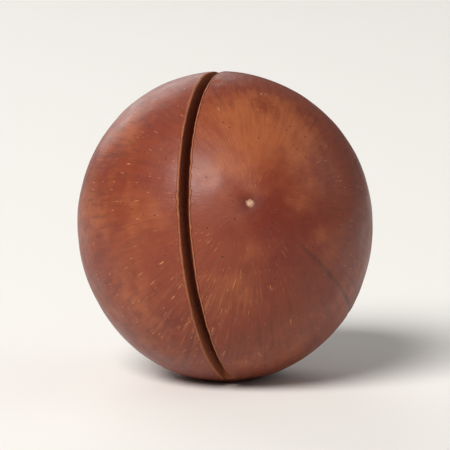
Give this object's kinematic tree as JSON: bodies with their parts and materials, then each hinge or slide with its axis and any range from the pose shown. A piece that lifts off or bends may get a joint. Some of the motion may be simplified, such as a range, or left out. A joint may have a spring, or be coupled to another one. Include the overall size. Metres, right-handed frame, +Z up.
{
  "type": "macadamia nut in shell",
  "caption": "Whole macadamia nut in its hard brown shell, near round, with a pale scar at the back, a small tip pore in front and a thin saw slot round it, from which the shell is levered open.",
  "frame": {"origin": "centre of the nut's box at its underside, on the small flat spot it rests on", "axes": "+Z up; -Y is the front, where the tip pore and the slot's middle show; +X is the right side seen from the front"},
  "size_m": [0.0236, 0.0244, 0.0245],
  "materials": {
    "shell": "satin"
  },
  "bodies": {
    "root": {"macadamia_nut": "shell"}
  },
  "joints": []
}
